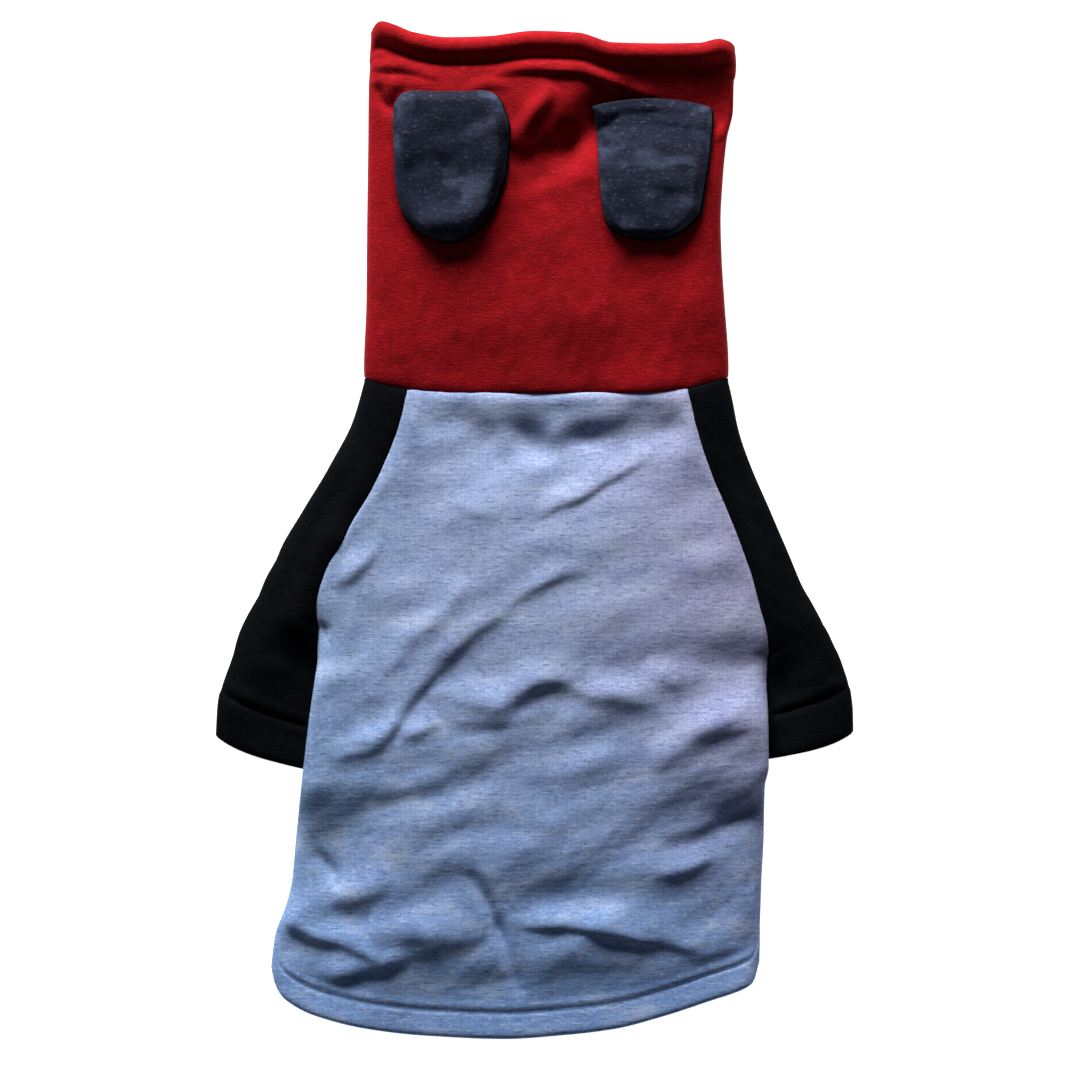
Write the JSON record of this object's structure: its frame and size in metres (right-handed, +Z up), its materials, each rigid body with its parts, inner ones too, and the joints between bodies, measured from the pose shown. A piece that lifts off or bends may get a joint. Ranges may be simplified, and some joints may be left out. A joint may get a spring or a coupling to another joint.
{
  "type": "pet hoodie",
  "caption": "Small pet hoodie lying flat, back up: red fleece hood with two dark blue ear flaps, pale blue melange body with a curved tail hem, and black raglan sleeves.",
  "frame": {"origin": "middle of the bottom of the bounding box, on the surface that the hoodie lies on", "axes": "+Y from the tail hem towards the hood's face opening, +Z up out of the back, +X to the right when it is seen from above with the hood at the top"},
  "size_m": [0.3202, 0.5088, 0.0234],
  "materials": {
    "red_fleece": "brushed sweat fleece with a short nap",
    "pale_blue_melange": "melange sweat jersey, matt, with short level flecks",
    "black_fleece": "brushed sweat fleece with a short nap",
    "dark_blue_melange": "melange sweat jersey, matt"
  },
  "bodies": {
    "root": {"hood": "red_fleece", "ear_left_back": "black_fleece", "ear_left_front": "dark_blue_melange", "ear_right_back": "black_fleece", "ear_right_front": "dark_blue_melange", "back_panel": "pale_blue_melange", "chest_panel": "pale_blue_melange", "sleeve_left": "black_fleece", "sleeve_right": "black_fleece"}
  },
  "joints": []
}
